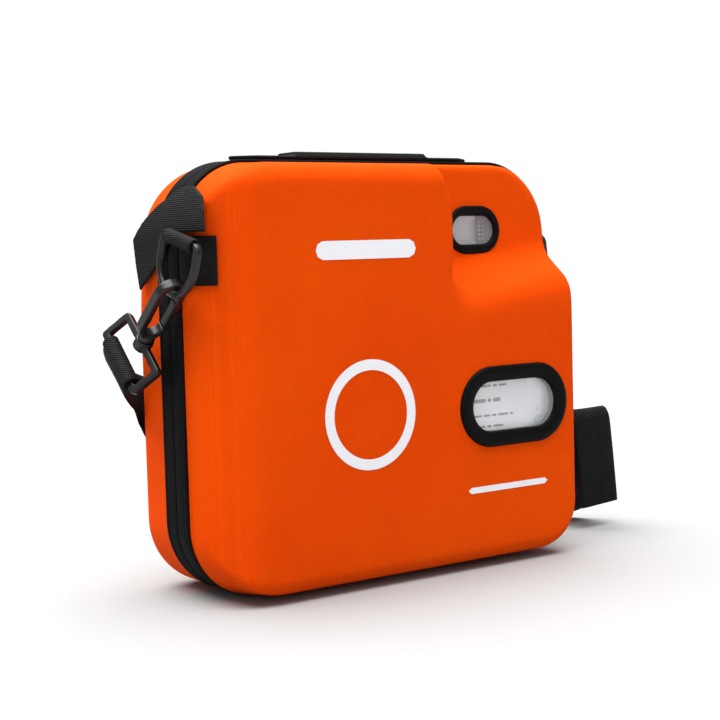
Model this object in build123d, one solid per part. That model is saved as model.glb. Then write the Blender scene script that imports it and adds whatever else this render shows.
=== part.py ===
from build123d import *
import math
import os

os.makedirs("parts", exist_ok=True)

# An automated external defibrillator in its moulded carry case, standing upright.
# Frame: +X is the right-hand side seen from the front, the front faces -Y, +Z is up.
# The origin is on the base, under the middle of the seam between the two shells.

# ---- driving dimensions, millimetres ----
SEAM_GAP = 0.3                 # half the gap between the two shells
BAND_HALF_W, BAND_H, BAND_R = 151.0, 280.0, 50.0     # outline of the seam band
BAND_HALF = 14.0               # half the band's width along Y
BAND_T = 2.0                   # the band stands this far out of the shells
FRONT_D, REAR_D = 55.0, 58.0   # depth of each shell from the seam
WALL = 4.0                     # laminated foam wall
COIL_W, COIL_DEEP = 2.3, 1.2   # the zip's coil reaches this far from the seam, and into the band
ZIP_FOOT = 30.0                # the zip ends this far above the base, where the fabric hinge is
HINGE_HALF_W, HINGE_T = 92.0, 0.9
DRAFT = 1.5                    # how much a shell narrows towards its face
FRONT_EDGE_R, REAR_EDGE_R = 9.0, 19.0     # rounding round each face
BEVEL_X, BEVEL_Y = 50.0, 43.0  # half-axes of the rounded left bevel of the front shell
RECESS_X = 37.0                # left wall of the stepped recess
RECESS_Y = -22.0               # floor of the recess
FACE_Y = -FRONT_D

WEB_W, WEB_T = 38.0, 1.8       # 1.5 inch webbing
CLEAR = 0.4                    # air between bodies

# windows: middle, outer size of the frame, size of the glass, and the surface they sit in
STATUS = dict(x=80.0, z=232.0, w=47.0, h=34.0, glass_w=37.0, glass_h=20.0, y=RECESS_Y)
PADS = dict(x=86.7, z=110.7, w=97.0, h=55.6, glass_w=73.5, glass_h=34.0, y=FACE_Y)

AED_HALF_W, AED_Z0, AED_Z1, AED_R = 104.0, 26.0, 252.0, 26.0
AED_FRONT, AED_SPLIT, AED_BACK = -12.0, 18.0, 44.0
AED_WALL = 3.0
POWER_POS, POWER_R = (-52.0, 196.0), 13.0
SHOCK_POS, SHOCK_R = (0.0, 92.0), 19.0
POWER_TRAVEL, SHOCK_TRAVEL = 2.0, 2.5

LEG_FOOT, LEG_LEN = 201.0, 31.0            # the webbing leg on the front shell's left bevel
RING_L = Vector(-158.6, -33.0, 229.0)      # middle of the left ring's straight bar
RING_R = Vector(158.6, 14.0, 226.0)        # middle of the right ring's straight bar
RING_ROD = 2.4                             # radius of the ring's rod
RING_W, RING_DROP = 43.0, 33.0             # over the rod's centre line
HOOK_LEN, HOOK_W, HOOK_BAR, HOOK_T = 50.0, 20.0, 4.6, 6.4
HOOK_SEAT = 9.9                            # from the hook's tip to the rod it hangs on
GATE_LO, GATE_HI = 17.0, 40.0              # the gate's ends, from the hook's tip
FRAME_LEN, FRAME_DEEP, FRAME_BAR = 54.0, 19.0, 4.6
WRAP_R = 3.6                               # inner radius of the strap's loop on a frame

BAR_L = (0.0, -0.72, -0.69)                # direction of the left frame's bars
BAR_R = (0.0, -0.95, -0.3)
BATTERY_POS, SPEAKER_POS, SOCKET_POS = (0.0, 75.0), (58.0, 150.0), (62.0, 60.0)
GLIDE_POS = (104.0, 68.0, 24.0)

# the strap's centre line and the direction across the webbing, from left to right
STRAP_RUN = [((-183.0, 28.2, 145.5), (0, -0.72, -0.69)), ((-179.0, 38.5, 137), (0.02, -0.72, -0.69)),
             ((-165.0, 51, 130), (-0.05, -0.66, -0.74)), ((-147.0, 61, 124), (-0.15, -0.45, -0.88)),
             ((-128.0, 67.5, 115), (-0.35, -0.15, -0.92)), ((-108.0, 69, 98), (-0.62, 0, -0.78)),
             ((-84.0, 69, 70), (-0.66, 0, -0.75)), ((-52.0, 68.5, 42), (-0.5, 0, -0.86)),
             ((-12.0, 68, 26), (-0.2, 0, -0.97)), ((44.0, 68, 22.4), (0, 0, -1)),
             ((90.0, 68, 24.0), (0, 0, -1)),
             ((128.0, 68, 24.4), (0.1, 0, -1)), ((156.0, 65, 33), (0.45, -0.35, -0.8)),
             ((173.0, 59, 58), (0.5, -0.75, -0.4)), ((180.0, 50, 88), (0.25, -0.93, -0.25)),
             ((175.0, 39.6, 117.2), (0, -0.95, -0.3))]
# the strap's loose tail: along the ground, up, over a fold and down again
TAIL_RUN = [((98.0, 70.5, 24.0), (0, 0, -1)), ((134.0, 71.5, 24.0), (0, 0, -1)),
            ((166.0, 76, 22.4), (0, 0, -1)), ((192.0, 70, 20.0), (0.1, 0.2, -0.97)),
            ((212.0, 54, 17.5), (0.35, 0.45, -0.8)), ((222.0, 38, 17.0), (0.75, 0.3, -0.6)),
            ((222.0, 27, 26), (0.95, 0.1, -0.25)), ((219.0, 21, 46), (1, 0, -0.05)),
            ((217.0, 18.5, 70), (1, 0, 0)), ((217.0, 16.0, 86), (1, 0, 0)),
            ((217.5, 11.0, 91.5), (1, 0, 0)), ((218.5, 6.0, 86), (1, 0, 0)),
            ((220.0, 4.5, 66), (1, 0, -0.03)), ((222.0, 3.5, 40), (1, 0, -0.06)),
            ((223.5, 2.5, 17), (1, 0, -0.2))]

parts = {}


# ---- helpers ----
def facing(y, x=0.0, z=0.0):
    """A sketch plane facing -Y: local x is +X and local y is +Z."""
    return Plane(origin=(x, y, z), x_dir=(1, 0, 0), z_dir=(0, -1, 0))


def outline(half_w, z0, z1, r, y):
    return facing(y, 0, (z0 + z1) / 2) * RectangleRounded(2 * half_w, z1 - z0, r)


def slab(half_w, z0, z1, r, y0, y1):
    """A rounded rectangle seen from the front, solid from y0 to y1 (y0 < y1)."""
    return extrude(outline(half_w, z0, z1, r, y1), y1 - y0)


def pill(x, z, w, h, y0, y1, r=None):
    """A rounded bar seen from the front, solid from y0 to y1 (y0 < y1)."""
    radius = h / 2 - 0.01 if r is None else r
    return extrude(facing(y1, x, z) * RectangleRounded(w, h, radius), y1 - y0)


def disc(x, z, r, y0, y1):
    return extrude(facing(y1, x, z) * Circle(r), y1 - y0)


def block(x0, x1, y0, y1, z0, z1):
    size = (x1 - x0, y1 - y0, z1 - z0)
    return Pos((x0 + x1) / 2, (y0 + y1) / 2, (z0 + z1) / 2) * Box(*size)


def rod(a, b, r):
    a, b = Vector(*a), Vector(*b)
    along = b - a
    return extrude(Plane(origin=a, z_dir=along.normalized()) * Circle(r), along.length)


def ribbon(stations, width, thick):
    """Webbing through stations of (centre, direction across the width)."""
    faces = []
    last = len(stations) - 1
    for i, (centre, across) in enumerate(stations):
        before = Vector(*stations[max(i - 1, 0)][0])
        after = Vector(*stations[min(i + 1, last)][0])
        tangent = (after - before).normalized()
        side = Vector(*across)
        side = (side - tangent * side.dot(tangent)).normalized()
        plane = Plane(origin=Vector(*centre), x_dir=side, z_dir=tangent)
        faces.append(plane * Rectangle(width, thick))
    web = loft(faces, ruled=True)
    return web if web.volume > 0 else loft(faces[::-1], ruled=True)


# ---- shells ----
def form(sign, depth, edge_r, inset):
    """Solid form of one shell from the seam to its face, inset all round."""
    half_w = BAND_HALF_W - BAND_T - inset
    top = BAND_H - BAND_T - inset
    r = BAND_R - BAND_T - inset
    far = sign * (depth - inset)
    near_face = outline(half_w, inset, top, r, sign * BAND_HALF)
    far_face = outline(half_w - DRAFT, inset, top - DRAFT, r - DRAFT, far)
    body = loft([near_face, far_face], ruled=True)
    rim = [e for e in body.edges() if abs(e.center().Y - far) < 0.01]
    body = fillet(rim, max(edge_r - inset, 4.0))
    return body


def seat(sign, inset):
    """The straight neck that carries the band, from the seam to the shell's form."""
    half_w = BAND_HALF_W - BAND_T - 0.5 - inset
    top = BAND_H - BAND_T - 0.5 - inset
    y0, y1 = sorted((sign * SEAM_GAP, sign * BAND_HALF))
    return slab(half_w, BAND_T + inset, top, BAND_R - BAND_T - 0.5 - inset, y0, y1)


def bevel_tool(inset):
    """Everything outside the rounded left bevel of the front shell."""
    cx = -(BAND_HALF_W - BAND_T - BEVEL_X)
    arc = EllipticalCenterArc((cx, -BAND_HALF), BEVEL_X - inset, BEVEL_Y - inset,
                              start_angle=180, arc_size=82)
    a, b = arc @ 0, arc @ 1
    low = -FRONT_D - 30
    rest = Polyline(b, (b.X, low), (-200, low), (-200, a.Y), a)
    return Pos(0, 0, -20) * extrude(make_face(Curve() + [arc, rest]), BAND_H + 40)


def recess_tool(inset):
    """The stepped recess at the upper right, with its ramp below."""
    ramp = Spline((RECESS_Y + 0.2, 300), (RECESS_Y, 250), (RECESS_Y - 0.2, 226), (-23, 213), (-28, 205.5),
                  (-38, 199), (-50, 191.5), (-57, 184), (-64, 172))
    a, b = ramp @ 0, ramp @ 1
    rest = Polyline(b, (-90, b.Y), (-90, a.Y), a)
    across = Plane(origin=(RECESS_X, 0, 0), x_dir=(0, 1, 0), z_dir=(1, 0, 0))
    tool = extrude(across * make_face(Curve() + [ramp, rest]), 180)
    return Pos(-inset, inset, -inset) * tool


def front_form(inset):
    body = form(-1, FRONT_D, FRONT_EDGE_R, inset)
    return body - bevel_tool(inset) - recess_tool(inset)


def make_shells():
    front = front_form(0) + seat(-1, 0)
    cavity = front_form(WALL) + seat(-1, WALL) + Pos(0, 1, 0) * seat(-1, WALL)
    front = front - cavity
    for window in (STATUS, PADS):
        y = window["y"]
        x, z = window["x"], window["z"]
        front -= pill(x, z, window["glass_w"] + 6, window["glass_h"] + 6, y - 12, y + 12)
        front -= pill(x, z, window["w"] + 0.4, window["h"] + 0.4, y - 12, y)
    parts["front_shell"] = front
    rear = form(1, REAR_D, REAR_EDGE_R, 0) + seat(1, 0)
    rear -= form(1, REAR_D, REAR_EDGE_R, WALL)
    parts["rear_shell"] = rear - seat(1, WALL) - Pos(0, -1, 0) * seat(1, WALL)


def zip_run(sign, reach, proud, foot):
    """The strip of the band next to the seam that holds one half of the zip, above the hinge."""
    y0, y1 = sorted((sign * SEAM_GAP, sign * reach))
    strip = slab(BAND_HALF_W + proud, -1, BAND_H + proud, BAND_R + proud, y0, y1)
    strip -= slab(BAND_HALF_W - COIL_DEEP, -2, BAND_H - COIL_DEEP, BAND_R - COIL_DEEP, y0, y1)
    return strip - block(-200, 200, -20, 20, -5, foot)


def make_band():
    """Zip tapes all round the seam, the zip's coils and the fabric hinge inside the base."""
    grow = BAND_T + 0.5
    for name, sign in (("front", -1), ("rear", 1)):
        y0, y1 = sorted((sign * SEAM_GAP, sign * BAND_HALF))
        ring = slab(BAND_HALF_W, 0, BAND_H, BAND_R, y0, y1)
        ring -= slab(BAND_HALF_W - grow, BAND_T, BAND_H - grow, BAND_R - grow, y0 - 1, y1 + 1)
        ring -= zip_run(sign, COIL_W + CLEAR - 0.1, 1.0, ZIP_FOOT)
        parts["zip_tape_" + name] = ring
        parts["zip_coil_" + name] = zip_run(sign, COIL_W, 0.2, ZIP_FOOT + 0.2)
        h0, h1 = sorted((sign * SEAM_GAP, sign * (BAND_HALF - 1)))
        inner = BAND_T + WALL
        parts["hinge_leaf_" + name] = block(-HINGE_HALF_W, HINGE_HALF_W, h0, h1,
                                             inner, inner + HINGE_T)


def make_zip():
    """Slider and pull on the straight right-hand run of the zip."""
    x, z = BAND_HALF_W + 0.2 + CLEAR, 52.0
    body = fillet(block(x, x + 3.4, -6, 6, z - 8, z + 8).edges().filter_by(Axis.X), 4)
    bail = block(x + 3.4, x + 6.6, -2.2, 2.2, z - 5, z + 5)
    bail -= rod((x + 4.6, -3, z), (x + 4.6, 3, z), 1.5)
    parts["zip_slider"] = body + bail
    pull = rod((x + 4.6, -4.6, z), (x + 4.6, 4.6, z), 1.1)
    for side in (-1, 1):
        pull += block(x + 3.6, x + 5.6, side * 3.9 - 0.9, side * 3.9 + 0.9, z - 14, z + 0.5)
    tab = block(x + 3.6, x + 5.6, -4.8, 4.8, z - 36, z - 13)
    pull += fillet(tab.edges().filter_by(Axis.X), 2)
    parts["zip_pull"] = pull


# ---- windows ----
def make_windows():
    for name, window in (("status", STATUS), ("pads", PADS)):
        x, z, y = window["x"], window["z"], window["y"]
        gw, gh = window["glass_w"], window["glass_h"]
        r = window["h"] / 2 - 0.01
        plate = pill(x, z, window["w"], window["h"], y - 2.2, y, r)
        collar = pill(x, z, gw + 5.6, gh + 5.6, y, y + WALL + 1.2)
        parts[name + "_bezel"] = plate + collar - pill(x, z, gw, gh, y - 5, y + 10)
        parts[name + "_pane"] = pill(x, z, gw - 0.1, gh - 0.1, y + 0.4, y + 1.9)


# ---- carry handle, ring holders and rings ----
def yoke(side, polygon):
    """Webbing lying over the band along its outline, cut to a side-view polygon of (y, z)."""
    lift = CLEAR + 0.2
    outer = BAND_HALF_W + lift + WEB_T
    skin = slab(outer, 0, BAND_H + lift + WEB_T, BAND_R + lift + WEB_T, -60, 60)
    skin -= slab(BAND_HALF_W + lift, -5, BAND_H + lift, BAND_R + lift, -61, 61)
    view = Plane(origin=(0, 0, 0), x_dir=(0, 1, 0), z_dir=(1, 0, 0))
    cutter = extrude(view * make_face(Polyline(*polygon, close=True)), 200 * side)
    return skin & cutter


def make_handle():
    z = BAND_H + CLEAR
    web = block(-89, 77, -12.5, 12.5, z, z + 2.6)
    for sign, x in ((-1, -89), (1, 77)):
        toe = [(x, -12.5), (x + sign * 14, -2), (x + sign * 14, 2), (x, 12.5)]
        web += Pos(0, 0, z) * extrude(make_face(Polyline(*toe, close=True)), 2.6)
    grip = block(-60, 48, -11, 11, z + 2.6, z + 5.4)
    parts["carry_handle"] = web + fillet(grip.edges().filter_by(Axis.X).group_by(Axis.Z)[-1], 1.6)


def ring_axes(down):
    """Directions of a ring hanging along down: along its straight bar, and down."""
    down = Vector(*down).normalized()
    along = Vector(0, down.Z, -down.Y).normalized()
    return along, down


def ring(middle, down):
    """A D-shaped rod: a straight bar roughly along Y and a bow towards down."""
    along, down = ring_axes(down)
    flat = Plane(origin=middle, x_dir=along, z_dir=along.cross(down))
    half, knee = RING_W / 2, RING_DROP * 0.42
    bow = ThreePointArc((half, knee), (0, RING_DROP), (-half, knee))
    sides = Polyline((-half, knee), (-half, 0), (half, 0), (half, knee))
    centre_line = make_face(Curve() + [bow, sides])
    rounded = fillet(centre_line.vertices(), 4.5)
    grown = offset(rounded, RING_ROD, kind=Kind.ARC)
    shrunk = offset(rounded, -RING_ROD, kind=Kind.ARC)
    body = extrude(flat * (grown - shrunk), RING_ROD, both=True)
    rims = [e for e in body.edges() if abs(flat.to_local_coords(e.center()).Z) > RING_ROD - 0.01]
    return fillet(rims, RING_ROD * 0.6)


def ring_loop(middle, down):
    """The roll of webbing round the ring's straight bar."""
    along, down = ring_axes(down)
    half = RING_W / 2 - RING_ROD - 1.5
    a, b = middle - along * half, middle + along * half
    return rod(a, b, RING_ROD + 2.2) - rod(a - along, b + along, RING_ROD + 0.5)


def hook(tip, down, out):
    """A snap hook that hangs from tip. Returns its body, its gate and where its swivel starts."""
    down = Vector(*down).normalized()
    out = Vector(*out)
    out = (out - down * out.dot(down)).normalized()
    flat = Plane(origin=tip, x_dir=out, z_dir=out.cross(down))
    mid = HOOK_LEN / 2
    at = flat * Pos(0, mid)
    loop = RectangleRounded(HOOK_W, HOOK_LEN, HOOK_W / 2 - 0.1)
    eye = RectangleRounded(HOOK_W - 2 * HOOK_BAR, HOOK_LEN - 2 * HOOK_BAR, HOOK_W / 2 - HOOK_BAR - 0.1)
    body = extrude(at * (loop - eye), HOOK_T / 2, both=True)
    gate_x = -(HOOK_W - HOOK_BAR) / 2
    gate_at = flat * Pos(gate_x, (GATE_LO + GATE_HI) / 2)
    slot = gate_at * Rectangle(HOOK_BAR + 2.4, GATE_HI - GATE_LO + 1.2)
    body -= extrude(slot, HOOK_T, both=True)
    bar = RectangleRounded(HOOK_BAR - 0.6, GATE_HI - GATE_LO, 1.6)
    gate = extrude(gate_at * bar, HOOK_T / 2 - 0.6, both=True)
    thumb = flat * Pos(gate_x - 2.4, GATE_LO + 7) * RectangleRounded(3.0, 7.0, 1.2)
    gate += extrude(thumb, HOOK_T / 2 - 1.2, both=True)
    foot = tip + down * HOOK_LEN
    body += rod(foot - down * 1.5, foot + down * 2.6, 5.4)
    body += rod(foot + down * 2.6, foot + down * 12.0, 2.6)
    return body, gate, foot + down * 2.6


def strap_frame(foot, down, bar, out):
    """The rectangular loop that takes the webbing, with the swivel's boss."""
    down = Vector(*down).normalized()
    bar = Vector(*bar).normalized()
    deep = Vector(*out)
    deep = (deep - bar * deep.dot(bar)).normalized()
    flat = Plane(origin=foot + down * 5.6, x_dir=bar, z_dir=bar.cross(deep))
    middle = flat * Pos(0, FRAME_DEEP / 2)
    plan = middle * RectangleRounded(FRAME_LEN, FRAME_DEEP + FRAME_BAR, 3.0)
    hole = middle * RectangleRounded(FRAME_LEN - 2 * FRAME_BAR, FRAME_DEEP - FRAME_BAR, 1.5)
    body = extrude(plan - hole, FRAME_BAR / 2, both=True)
    body += rod(foot + down * 0.4, foot + down * 8.4, 6.0)
    body -= rod(foot - down, foot + down * 13, 2.75)
    far = foot + down * 5.6 + deep * FRAME_DEEP
    return body, far, deep


def strap_end(far, bar):
    """The webbing's stitched loop round the far bar of a strap frame."""
    bar = Vector(*bar).normalized()
    a, b = far - bar * (WEB_W / 2), far + bar * (WEB_W / 2)
    return rod(a, b, WRAP_R + WEB_T) - rod(a - bar, b + bar, WRAP_R)


def make_left_side():
    rear_leg = [(-6, 263), (2, 259), (16, 252), (30, 242), (42, 231), (39, 214), (35, 198),
                (22, 206), (8, 216), (-6, 228), (-13, 234), (-52, 234), (-46, 247), (-38, 256), (-20, 263)]
    parts["yoke_l"] = yoke(-1, rear_leg)
    cx = -(BAND_HALF_W - BAND_T - BEVEL_X)
    outer = Ellipse(BEVEL_X + CLEAR / 2 + WEB_T, BEVEL_Y + CLEAR / 2 + WEB_T)
    inner = Ellipse(BEVEL_X + CLEAR / 2, BEVEL_Y + CLEAR / 2)
    leg = extrude(Pos(cx, -BAND_HALF, LEG_FOOT) * (outer - inner), LEG_LEN)
    parts["yoke_leg_front_l"] = leg & block(-170, cx - 40, -60, -BAND_HALF - 1.0, 190, 260)
    return make_hardware("l", RING_L, (-0.1, 0.22, -0.97), (-163.5, -33.8, 204.2),
                         (-0.03, 0.74, -0.67), (-1, 0, 0), BAR_L, (-0.55, 0.6, -0.58))


def make_hardware(side, middle, ring_down, tip, hook_down, out, bar, deep):
    """Ring, its webbing roll, snap hook with gate, and the frame for the strap."""
    parts["d_ring_" + side] = ring(middle, ring_down)
    parts["ring_loop_" + side] = ring_loop(middle, ring_down)
    body, gate, foot = hook(Vector(*tip), hook_down, out)
    parts["hook_" + side] = body
    parts["hook_gate_" + side] = gate
    frame, far, deep = strap_frame(foot, hook_down, bar, deep)
    parts["swivel_frame_" + side] = frame
    return far, deep


def make_right_side():
    tab = [(-2, 250), (34, 250), (34, 226), (-2, 226)]
    parts["yoke_r"] = yoke(1, tab)
    return make_hardware("r", RING_R, (0.12, 0.0, -0.99), (163.8, 12.6, 202.6),
                         (0.03, 0.3, -0.95), (1, 0, 0), BAR_R, (0.3, 0.3, -0.95))


def make_strap(left, right):
    """The shoulder strap: from the left frame, behind the case, to the right frame."""
    (far_l, deep_l), (far_r, deep_r) = left, right
    start = far_l + deep_l * (WRAP_R + WEB_T + 0.1)
    end = far_r + deep_r * (WRAP_R + WEB_T + 0.1)
    run = [((start.X, start.Y, start.Z), BAR_L)] + STRAP_RUN + [((end.X, end.Y, end.Z), BAR_R)]
    parts["shoulder_strap"] = ribbon(run, WEB_W, WEB_T)
    parts["strap_end_l"] = strap_end(far_l, BAR_L)
    parts["strap_end_r"] = strap_end(far_r, BAR_R)
    parts["strap_tail"] = ribbon(TAIL_RUN, WEB_W, WEB_T)
    x, y, z = GLIDE_POS
    glide = block(x - 13, x + 13, y - 4.6, y + 7.0, z - 23, z + 23)
    glide -= block(x - 14, x + 14, y - 2.0, y + 3.6, z - 20, z + 20)
    glide -= block(x - 9.5, x + 9.5, y - 6, y - 1, z - 20, z + 20)
    for side in (-1, 1):
        glide -= block(*sorted((x + side * 2.4, x + side * 14)), y + 3, y + 8, z - 20, z + 20)
    parts["tri_glide"] = glide


# ---- the defibrillator ----
def aed_slab(inset, y0, y1):
    return slab(AED_HALF_W - inset, AED_Z0 + inset, AED_Z1 - inset, AED_R - inset, y0, y1)


def rim_edges(body, y):
    return [e for e in body.edges() if abs(e.center().Y - y) < 0.01]


def screw_spots():
    return [(x, z) for x in (-88, 88) for z in (AED_Z0 + 14, AED_Z1 - 14)]


def make_aed_casing():
    seal = 0.8
    front = aed_slab(0, AED_FRONT, AED_SPLIT - seal)
    front = fillet(rim_edges(front, AED_FRONT), 7) - aed_slab(AED_WALL, AED_FRONT + AED_WALL, AED_SPLIT)
    back = aed_slab(0, AED_SPLIT + seal, AED_BACK)
    back = fillet(rim_edges(back, AED_BACK), 9) - aed_slab(AED_WALL, AED_SPLIT, AED_BACK - AED_WALL)
    y0, y1 = AED_FRONT - 1, AED_FRONT + AED_WALL + 1
    front -= disc(*POWER_POS, POWER_R + CLEAR, y0, y1)
    front -= disc(*SHOCK_POS, SHOCK_R + CLEAR, y0, y1)
    front -= pill(STATUS["x"], STATUS["z"], 30, 15, y0, y1, 3)
    front -= pill(*SOCKET_POS, 30, 16, y0, y1, 4)
    for i in range(5):
        front -= pill(SPEAKER_POS[0], SPEAKER_POS[1] + (i - 2) * 6, 30, 2.4, y0, y1)
    for x, z in screw_spots():
        back += disc(x, z, 5, AED_SPLIT + seal, AED_BACK - AED_WALL)
        back -= disc(x, z, 2.1, AED_SPLIT, AED_BACK + 1)
        back -= disc(x, z, 3.8, AED_BACK - 1.6, AED_BACK + 1)
    back -= pill(*BATTERY_POS, 120.6, 70.6, AED_BACK - AED_WALL - 1, AED_BACK + 1, 6)
    parts["aed_front_casing"] = front
    parts["aed_rear_casing"] = back
    parts["casing_gasket"] = aed_slab(0.4, AED_SPLIT - seal, AED_SPLIT + seal) - aed_slab(AED_WALL, 0, 40)
    screws = [disc(x, z, 2, 22, AED_BACK - 1.6) + disc(x, z, 3.6, AED_BACK - 1.6, AED_BACK - 0.1)
              for x, z in screw_spots()]
    parts["casing_screws"] = Compound(children=[s.solid() for s in screws])


def make_aed_inside():
    board_y = 8.0
    board = pill(0, 152, 180, 165, board_y, board_y + 1.6, 4)
    parts["main_board"] = board
    parts["battery_pack"] = pill(*BATTERY_POS, 120, 70, 20, AED_BACK - 0.2, 6)
    parts["capacitor"] = rod((-38, 27, 142), (38, 27, 142), 14)
    parts["speaker"] = disc(*SPEAKER_POS, 19, AED_FRONT + AED_WALL + 0.3, 2)
    x, z = STATUS["x"], STATUS["z"]
    parts["status_display"] = pill(x, z, 32, 17, AED_FRONT + AED_WALL + 0.1, AED_FRONT + 8, 3)
    parts["display_lens"] = pill(x, z, 29.8, 14.8, AED_FRONT + 0.5, AED_FRONT + AED_WALL, 2.9)
    socket = pill(*SOCKET_POS, 29.8, 15.8, AED_FRONT - 0.8, AED_FRONT + 12, 3.9)
    parts["pads_socket"] = socket - pill(*SOCKET_POS, 23, 9, AED_FRONT - 2, AED_FRONT + 9, 2)
    inner = AED_FRONT + AED_WALL
    flange = inner + 0.3
    for name, pos, r, travel, proud in (("power", POWER_POS, POWER_R, POWER_TRAVEL, 1.5),
                                        ("shock", SHOCK_POS, SHOCK_R, SHOCK_TRAVEL, 2.0)):
        cap = disc(*pos, r, AED_FRONT - proud, flange + 1.4)
        cap = fillet(rim_edges(cap, AED_FRONT - proud), 1.2)
        parts[name + "_button"] = cap + disc(*pos, r + 1.6, flange, flange + 1.4)
        parts[name + "_switch"] = disc(*pos, 4.5, flange + 1.4 + travel + 0.4, board_y)


def make_interior():
    """The foam cradle in the rear shell, and the pads in their pocket in the lid."""
    cradle = slab(138, 12, 264, 34, 24, REAR_D - WALL - 0.3)
    cradle = fillet(rim_edges(cradle, REAR_D - WALL - 0.3), 17)
    parts["foam_cradle"] = cradle - aed_slab(-0.5, 20, AED_BACK + 0.4)
    y0, y1 = FACE_Y + WALL + 0.1, -34.8
    pocket = block(23, 132, y0, y1, 66, 150) - block(24, 131, y0 - 1, y1 - 0.8, 67, 151)
    parts["mesh_pocket"] = pocket
    pouch = block(30, 129, -48.4, -36.2, 68, 160)
    parts["pads_pouch"] = fillet(pouch.edges().filter_by(Axis.Z), 4)
    parts["pouch_label"] = block(44, 127, -49.0, -48.5, 86, 135)


if __name__ == "__main__":
    make_shells()
    make_band()
    make_zip()
    make_windows()
    make_handle()
    make_strap(make_left_side(), make_right_side())
    make_aed_casing()
    make_aed_inside()
    make_interior()
    for name, shape in parts.items():
        export_step(shape, f"parts/{name}.step")
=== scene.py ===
import math

import bmesh
import bpy
import numpy as np
from mathutils import Matrix, Vector
from mathutils.geometry import tessellate_polygon


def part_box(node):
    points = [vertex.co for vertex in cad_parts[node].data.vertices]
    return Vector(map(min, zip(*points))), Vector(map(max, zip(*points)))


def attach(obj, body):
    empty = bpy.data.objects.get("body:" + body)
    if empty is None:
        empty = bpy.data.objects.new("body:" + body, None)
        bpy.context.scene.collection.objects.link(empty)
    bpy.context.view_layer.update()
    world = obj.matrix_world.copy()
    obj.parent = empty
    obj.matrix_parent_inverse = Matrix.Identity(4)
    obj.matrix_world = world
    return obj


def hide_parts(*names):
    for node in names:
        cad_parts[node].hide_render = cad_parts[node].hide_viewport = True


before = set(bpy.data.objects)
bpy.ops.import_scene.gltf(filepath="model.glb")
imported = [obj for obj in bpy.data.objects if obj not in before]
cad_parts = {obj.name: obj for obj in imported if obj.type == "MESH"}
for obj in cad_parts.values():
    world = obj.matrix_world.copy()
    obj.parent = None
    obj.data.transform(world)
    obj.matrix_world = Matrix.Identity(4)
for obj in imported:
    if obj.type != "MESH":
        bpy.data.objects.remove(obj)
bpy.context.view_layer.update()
MM = 0.001

# ---- sizes of the case in millimetres, as in the CAD model ----
BAND_HALF_W, BAND_H, BAND_R, BAND_HALF, BAND_T = 151.0, 280.0, 50.0, 14.0, 2.0
FRONT_D, REAR_D, WALL, DRAFT, SEAM_GAP = 55.0, 58.0, 4.0, 1.5, 0.3
RECESS_X, RECESS_Y = 37.0, -22.0
STATUS = dict(x=80.0, z=232.0, w=47.0, h=34.0, gw=37.0, gh=20.0, y=RECESS_Y)
PADS = dict(x=86.7, z=110.7, w=97.0, h=55.6, gw=73.5, gh=34.0, y=-FRONT_D)
WEB_W, WEB_T = 38.0, 1.8
AMBIENT, FLOOR_DROP = 0.36, 0.0006
SUN = 8.6


# ---- materials ----
class Paint:
    """A small helper that adds nodes to one principled material."""

    def __init__(self, name, color, rough, **sockets):
        self.mat = bpy.data.materials.new(name)
        self.mat.use_nodes = True
        self.tree = self.mat.node_tree
        self.bsdf = self.tree.nodes["Principled BSDF"]
        self.set("Base Color", (*color, 1.0))
        self.set("Roughness", rough)
        for key, value in sockets.items():
            self.set(key.replace("_", " "), value)

    def set(self, socket, value):
        self.bsdf.inputs[socket].default_value = value

    def node(self, kind, **inputs):
        n = self.tree.nodes.new(kind)
        for key, value in inputs.items():
            n.inputs[key.replace("_", " ")].default_value = value
        return n

    def link(self, a, b):
        self.tree.links.new(a, b)

    def coords(self, output="Object"):
        return self.node("ShaderNodeTexCoord").outputs[output]

    def noise(self, scale, detail=2.0, source=None):
        n = self.node("ShaderNodeTexNoise", Scale=scale, Detail=detail)
        self.link(source or self.coords(), n.inputs["Vector"])
        return n.outputs["Fac"]

    def math(self, op, a, b=None):
        n = self.tree.nodes.new("ShaderNodeMath")
        n.operation = op
        for i, value in enumerate((a, b)):
            if value is None:
                continue
            if isinstance(value, (int, float)):
                n.inputs[i].default_value = value
            else:
                self.link(value, n.inputs[i])
        return n.outputs[0]

    def axis(self, source, index):
        n = self.node("ShaderNodeSeparateXYZ")
        self.link(source, n.inputs[0])
        return n.outputs[index]

    def wave(self, source, pitch):
        """A sine from 0 to 1 with the given pitch in metres."""
        s = self.math("SINE", self.math("MULTIPLY", source, 2 * math.pi / pitch))
        return self.math("MULTIPLY_ADD", s, 0.5)

    def blend_color(self, fac, a, b):
        ramp = self.node("ShaderNodeValToRGB")
        ramp.color_ramp.elements[0].color = (*a, 1.0)
        ramp.color_ramp.elements[1].color = (*b, 1.0)
        ramp.color_ramp.elements[0].position = 0.3
        ramp.color_ramp.elements[1].position = 0.7
        self.link(fac, ramp.inputs["Fac"])
        self.link(ramp.outputs["Color"], self.bsdf.inputs["Base Color"])

    def rough_range(self, fac, low, high):
        n = self.node("ShaderNodeMapRange", To_Min=low, To_Max=high)
        self.link(fac, n.inputs["Value"])
        self.link(n.outputs["Result"], self.bsdf.inputs["Roughness"])

    def bump(self, height, depth_mm, strength=1.0):
        n = self.node("ShaderNodeBump", Strength=strength, Distance=depth_mm * MM)
        self.link(height, n.inputs["Height"])
        self.link(n.outputs["Normal"], self.bsdf.inputs["Normal"])


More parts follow.
